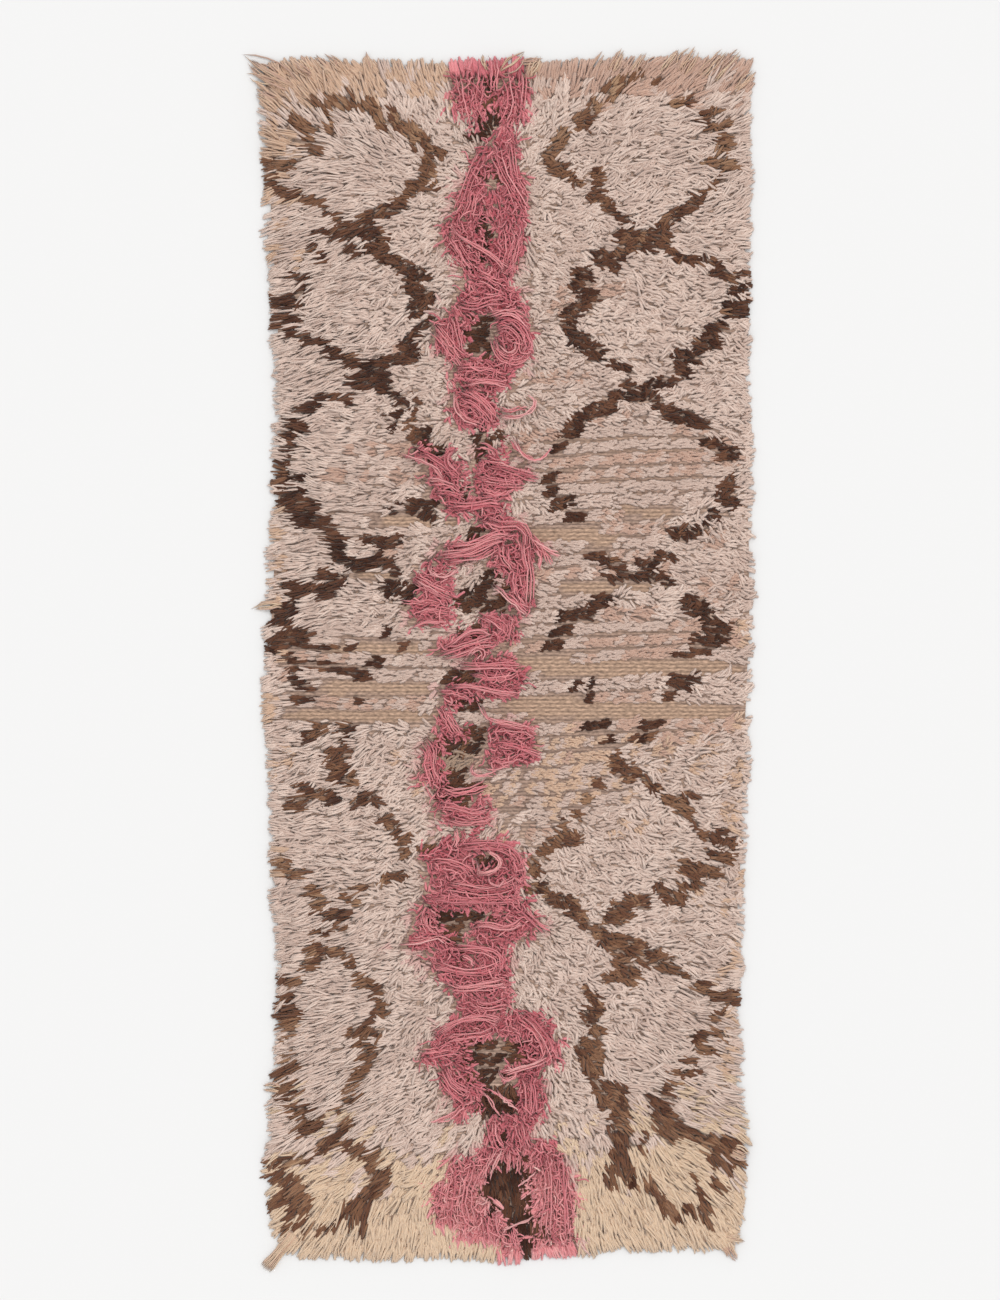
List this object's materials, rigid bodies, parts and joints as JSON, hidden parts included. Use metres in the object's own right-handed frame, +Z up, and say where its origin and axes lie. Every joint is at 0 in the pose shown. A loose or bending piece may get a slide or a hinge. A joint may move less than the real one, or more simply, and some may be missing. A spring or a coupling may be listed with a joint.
{
  "type": "hand-knotted wool runner rug",
  "caption": "Long narrow hand-knotted shag rug with uneven sides, loose yarn round its rim and one bunch of warp ends, lying flat.",
  "frame": {"origin": "on the floor under the middle of the rug's bounding box, loose yarn included", "axes": "+X across the rug, +Y along it towards the end that is up in the picture, +Z up out of the pile"},
  "size_m": [0.8502, 2.0012, 0.0363],
  "materials": {
    "cream_wool": "long natural wool pile, greige, matt",
    "warp_yarn": "tan twisted warp yarn, matt",
    "brown_wool": "dark brown natural wool pile, matt",
    "pink_wool": "pink dyed wool yarn, long and curly, matt",
    "ground_weave": "tan ribbed ground weave, matt"
  },
  "bodies": {
    "root": {"pile_rug": "cream_wool", "corner_tassel": "warp_yarn"}
  },
  "joints": []
}
